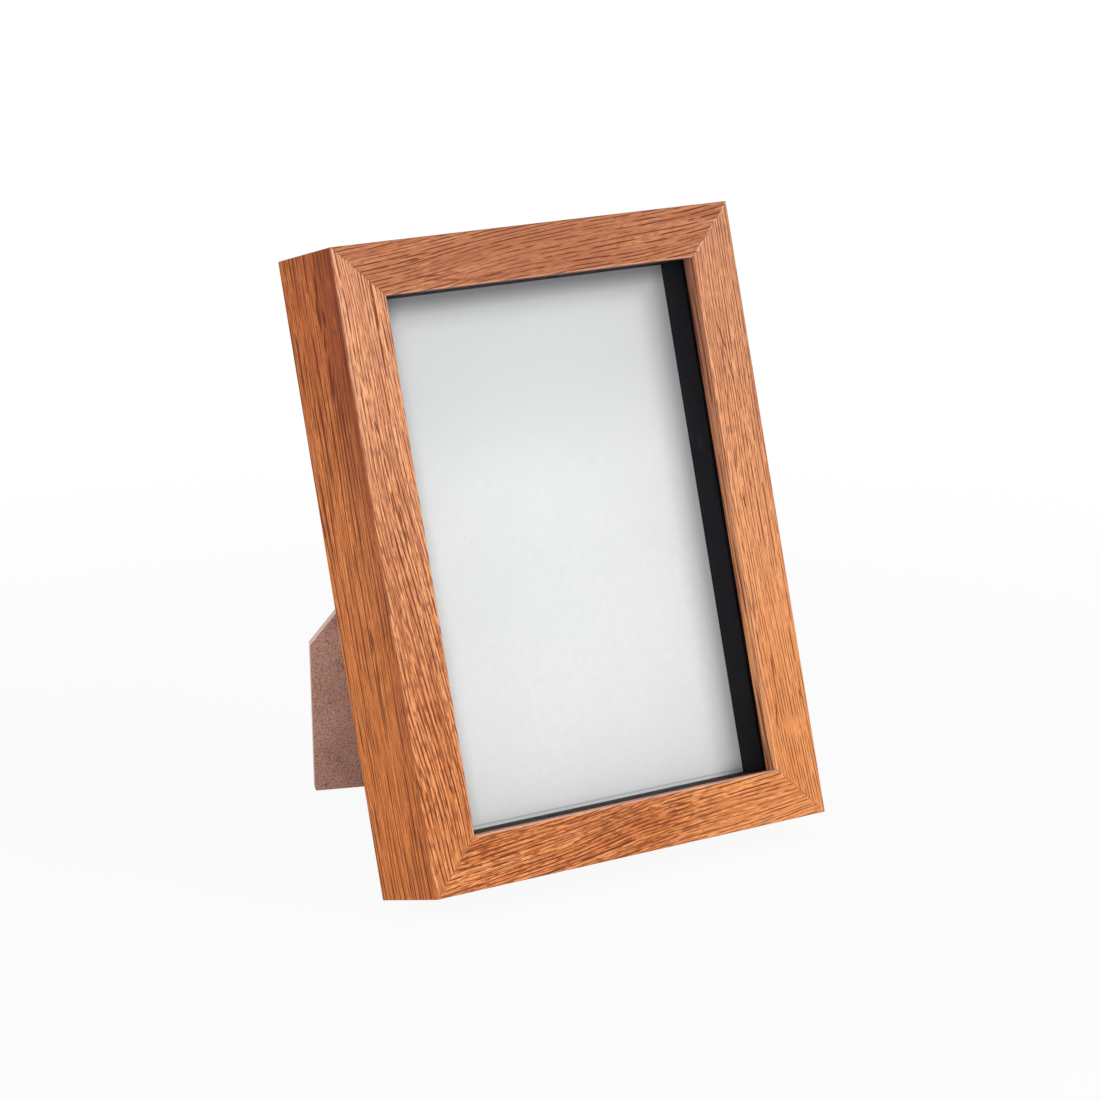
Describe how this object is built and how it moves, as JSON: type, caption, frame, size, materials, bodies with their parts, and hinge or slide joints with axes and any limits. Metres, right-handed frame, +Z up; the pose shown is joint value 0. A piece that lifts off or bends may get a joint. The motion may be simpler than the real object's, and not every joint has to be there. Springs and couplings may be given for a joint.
{
  "type": "shadow box frame",
  "caption": "Leaning shadow box picture frame in wood-grain foil, with a glazed display space, a board back held by turn buttons, keyhole hangers and a folding leg.",
  "frame": {"origin": "on the ground, under the centre of the bounding box of the frame standing on its open leg", "axes": "+Z up, +Y from the glazed front towards the open leg, +X to the right seen from the front; the frame leans back by 16.39 degrees"},
  "size_m": [0.153, 0.1422, 0.2049],
  "materials": {
    "wood_foil": "satin printed wood-grain foil over fibre board",
    "clear_glass": "clear float glass",
    "black_spacer": "matt black",
    "white_card": "bare matt white card",
    "grey_board": "raw grey board",
    "fibre_board": "raw medium-density fibre board",
    "plated_steel": "zinc-plated pressed sheet"
  },
  "bodies": {
    "frame": {"rail_top": "wood_foil", "rail_bottom": "wood_foil", "rail_left": "wood_foil", "rail_right": "wood_foil", "mitre_v_nails": "plated_steel", "glass_pane": "clear_glass", "spacer_top": "black_spacer", "spacer_bottom": "black_spacer", "spacer_left": "black_spacer", "spacer_right": "black_spacer", "insert_card": "white_card", "packer_top": "grey_board", "packer_bottom": "grey_board", "packer_left": "grey_board", "packer_right": "grey_board", "backing_board": "fibre_board", "hinge_leaf_board": "plated_steel", "hinge_pin": "plated_steel", "hinge_rivets_board": "plated_steel", "hanger_portrait": "plated_steel", "hanger_landscape": "plated_steel", "hanger_screws": "plated_steel", "turn_button_screws": "plated_steel"},
    "leg": {"leg_board": "fibre_board", "hinge_leaf_leg": "plated_steel", "hinge_rivets_leg": "plated_steel"},
    "button_top_left": {"turn_button_top_left": "plated_steel"},
    "button_top_right": {"turn_button_top_right": "plated_steel"},
    "button_right_upper": {"turn_button_right_upper": "plated_steel"},
    "button_right_lower": {"turn_button_right_lower": "plated_steel"},
    "button_left": {"turn_button_left": "plated_steel"},
    "button_bottom": {"turn_button_bottom": "plated_steel"}
  },
  "joints": [
    {"name": "leg_fold", "type": "hinge", "parent": "frame", "child": "leg", "pos_m": [0.029, 0.00052, 0.1285], "axis": [0.8192, -0.1618, -0.5503], "range_deg": [-40.5, 0]},
    {"name": "turn_top_left", "type": "hinge", "parent": "frame", "child": "button_top_left", "pos_m": [-0.03825, 0.01694, 0.18949], "axis": [0, 0.9594, -0.2821], "continuous": true},
    {"name": "turn_top_right", "type": "hinge", "parent": "frame", "child": "button_top_right", "pos_m": [0.03825, 0.01694, 0.18949], "axis": [0, 0.9594, -0.2821], "continuous": true},
    {"name": "turn_right_upper", "type": "hinge", "parent": "frame", "child": "button_right_upper", "pos_m": [0.07025, 0.00432, 0.14656], "axis": [0, 0.9594, -0.2821], "continuous": true},
    {"name": "turn_right_lower", "type": "hinge", "parent": "frame", "child": "button_right_lower", "pos_m": [0.07025, -0.02446, 0.0487], "axis": [0, 0.9594, -0.2821], "continuous": true},
    {"name": "turn_left", "type": "hinge", "parent": "frame", "child": "button_left", "pos_m": [-0.07025, 0.00432, 0.14656], "axis": [0, 0.9594, -0.2821], "continuous": true},
    {"name": "turn_bottom", "type": "hinge", "parent": "frame", "child": "button_bottom", "pos_m": [0.03825, -0.03708, 0.00577], "axis": [0, 0.9594, -0.2821], "continuous": true}
  ]
}
